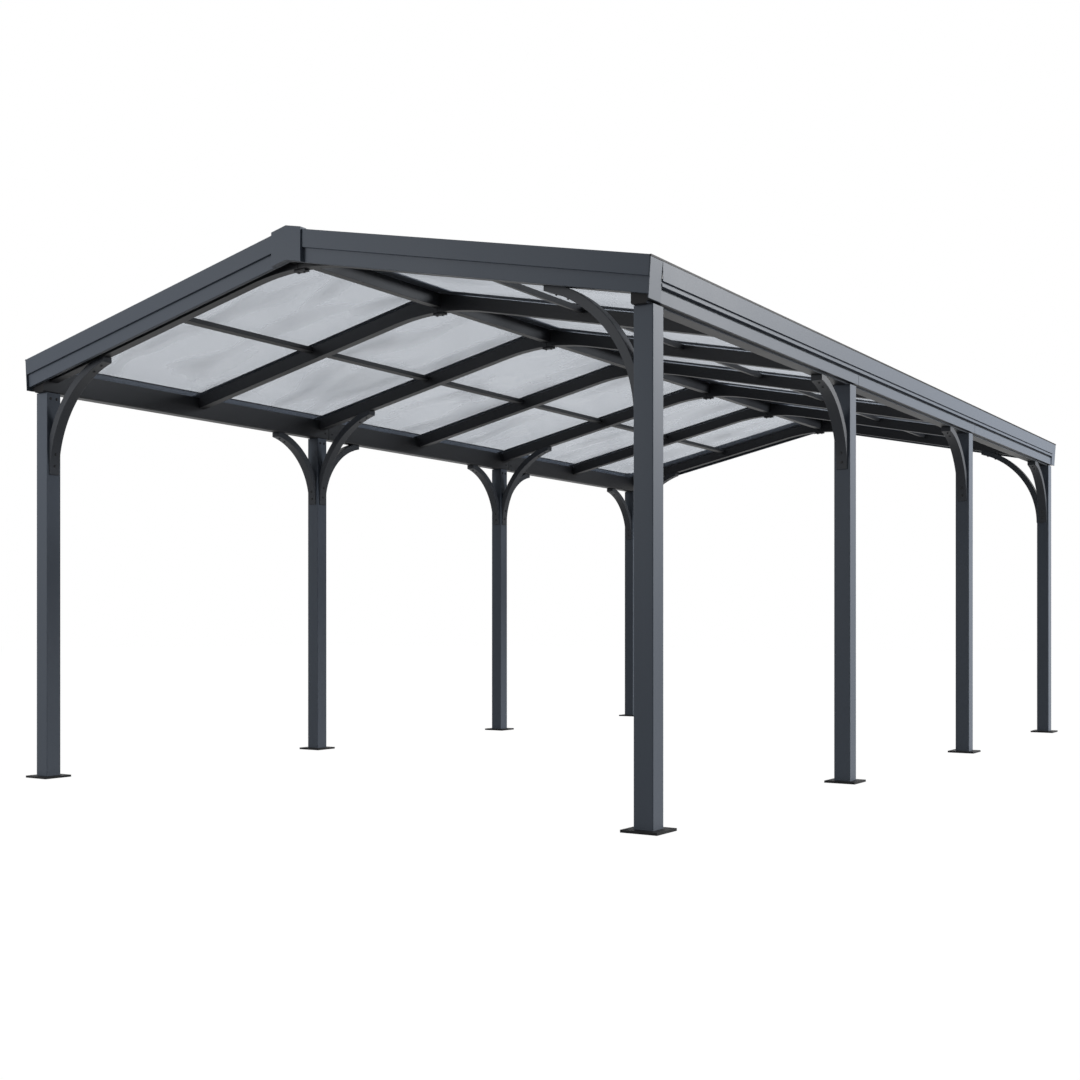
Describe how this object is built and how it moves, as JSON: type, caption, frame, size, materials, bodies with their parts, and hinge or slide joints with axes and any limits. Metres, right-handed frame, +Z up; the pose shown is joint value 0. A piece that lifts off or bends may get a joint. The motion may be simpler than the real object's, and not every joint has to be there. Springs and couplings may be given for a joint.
{
  "type": "carport",
  "caption": "Free-standing open carport: square posts on base plates, curved braces and eave beams with gutters carrying a low gable roof of frosted sheets between dark fascias.",
  "frame": {"origin": "on the ground, in the middle of the plan", "axes": "+Z up, +Y along the eaves from the front gable to the back, +X across to the right-hand eave"},
  "size_m": [3.5, 5.986, 2.4166],
  "materials": {
    "frame_slate": "satin slate-grey powder coat",
    "frame_graphite": "matt graphite powder coat",
    "plate_black": "matt black powder coat on steel",
    "roof_sheet": "frosted translucent plastic sheet"
  },
  "bodies": {
    "root": {"post_left_1": "frame_slate", "post_left_2": "frame_slate", "post_left_3": "frame_slate", "post_left_4": "frame_slate", "post_right_1": "frame_slate", "post_right_2": "frame_slate", "post_right_3": "frame_slate", "post_right_4": "frame_slate", "gutter_left": "frame_slate", "gutter_right": "frame_slate", "corner_caps_front": "frame_slate", "corner_caps_back": "frame_slate", "cover_strips_left": "frame_slate", "cover_strips_right": "frame_slate", "ridge_cap": "frame_slate", "fascia_front_left": "frame_slate", "fascia_front_right": "frame_slate", "fascia_back_left": "frame_slate", "fascia_back_right": "frame_slate", "apex_cap_front": "frame_slate", "apex_cap_back": "frame_slate", "eave_beam_left": "frame_graphite", "eave_beam_right": "frame_graphite", "rafter_1": "frame_graphite", "rafter_2": "frame_graphite", "rafter_3": "frame_graphite", "rafter_4": "frame_graphite", "rafter_5": "frame_graphite", "rafter_6": "frame_graphite", "rafter_7": "frame_graphite", "ridge_splices": "frame_graphite", "ridge_beam": "frame_graphite", "purlin_left": "frame_graphite", "purlin_right": "frame_graphite", "rafter_braces_left": "frame_graphite", "rafter_braces_right": "frame_graphite", "eave_braces_left": "frame_graphite", "eave_braces_right": "frame_graphite", "base_plates_left": "plate_black", "base_plates_right": "plate_black", "roof_sheets_left": "roof_sheet", "roof_sheets_right": "roof_sheet"}
  },
  "joints": []
}
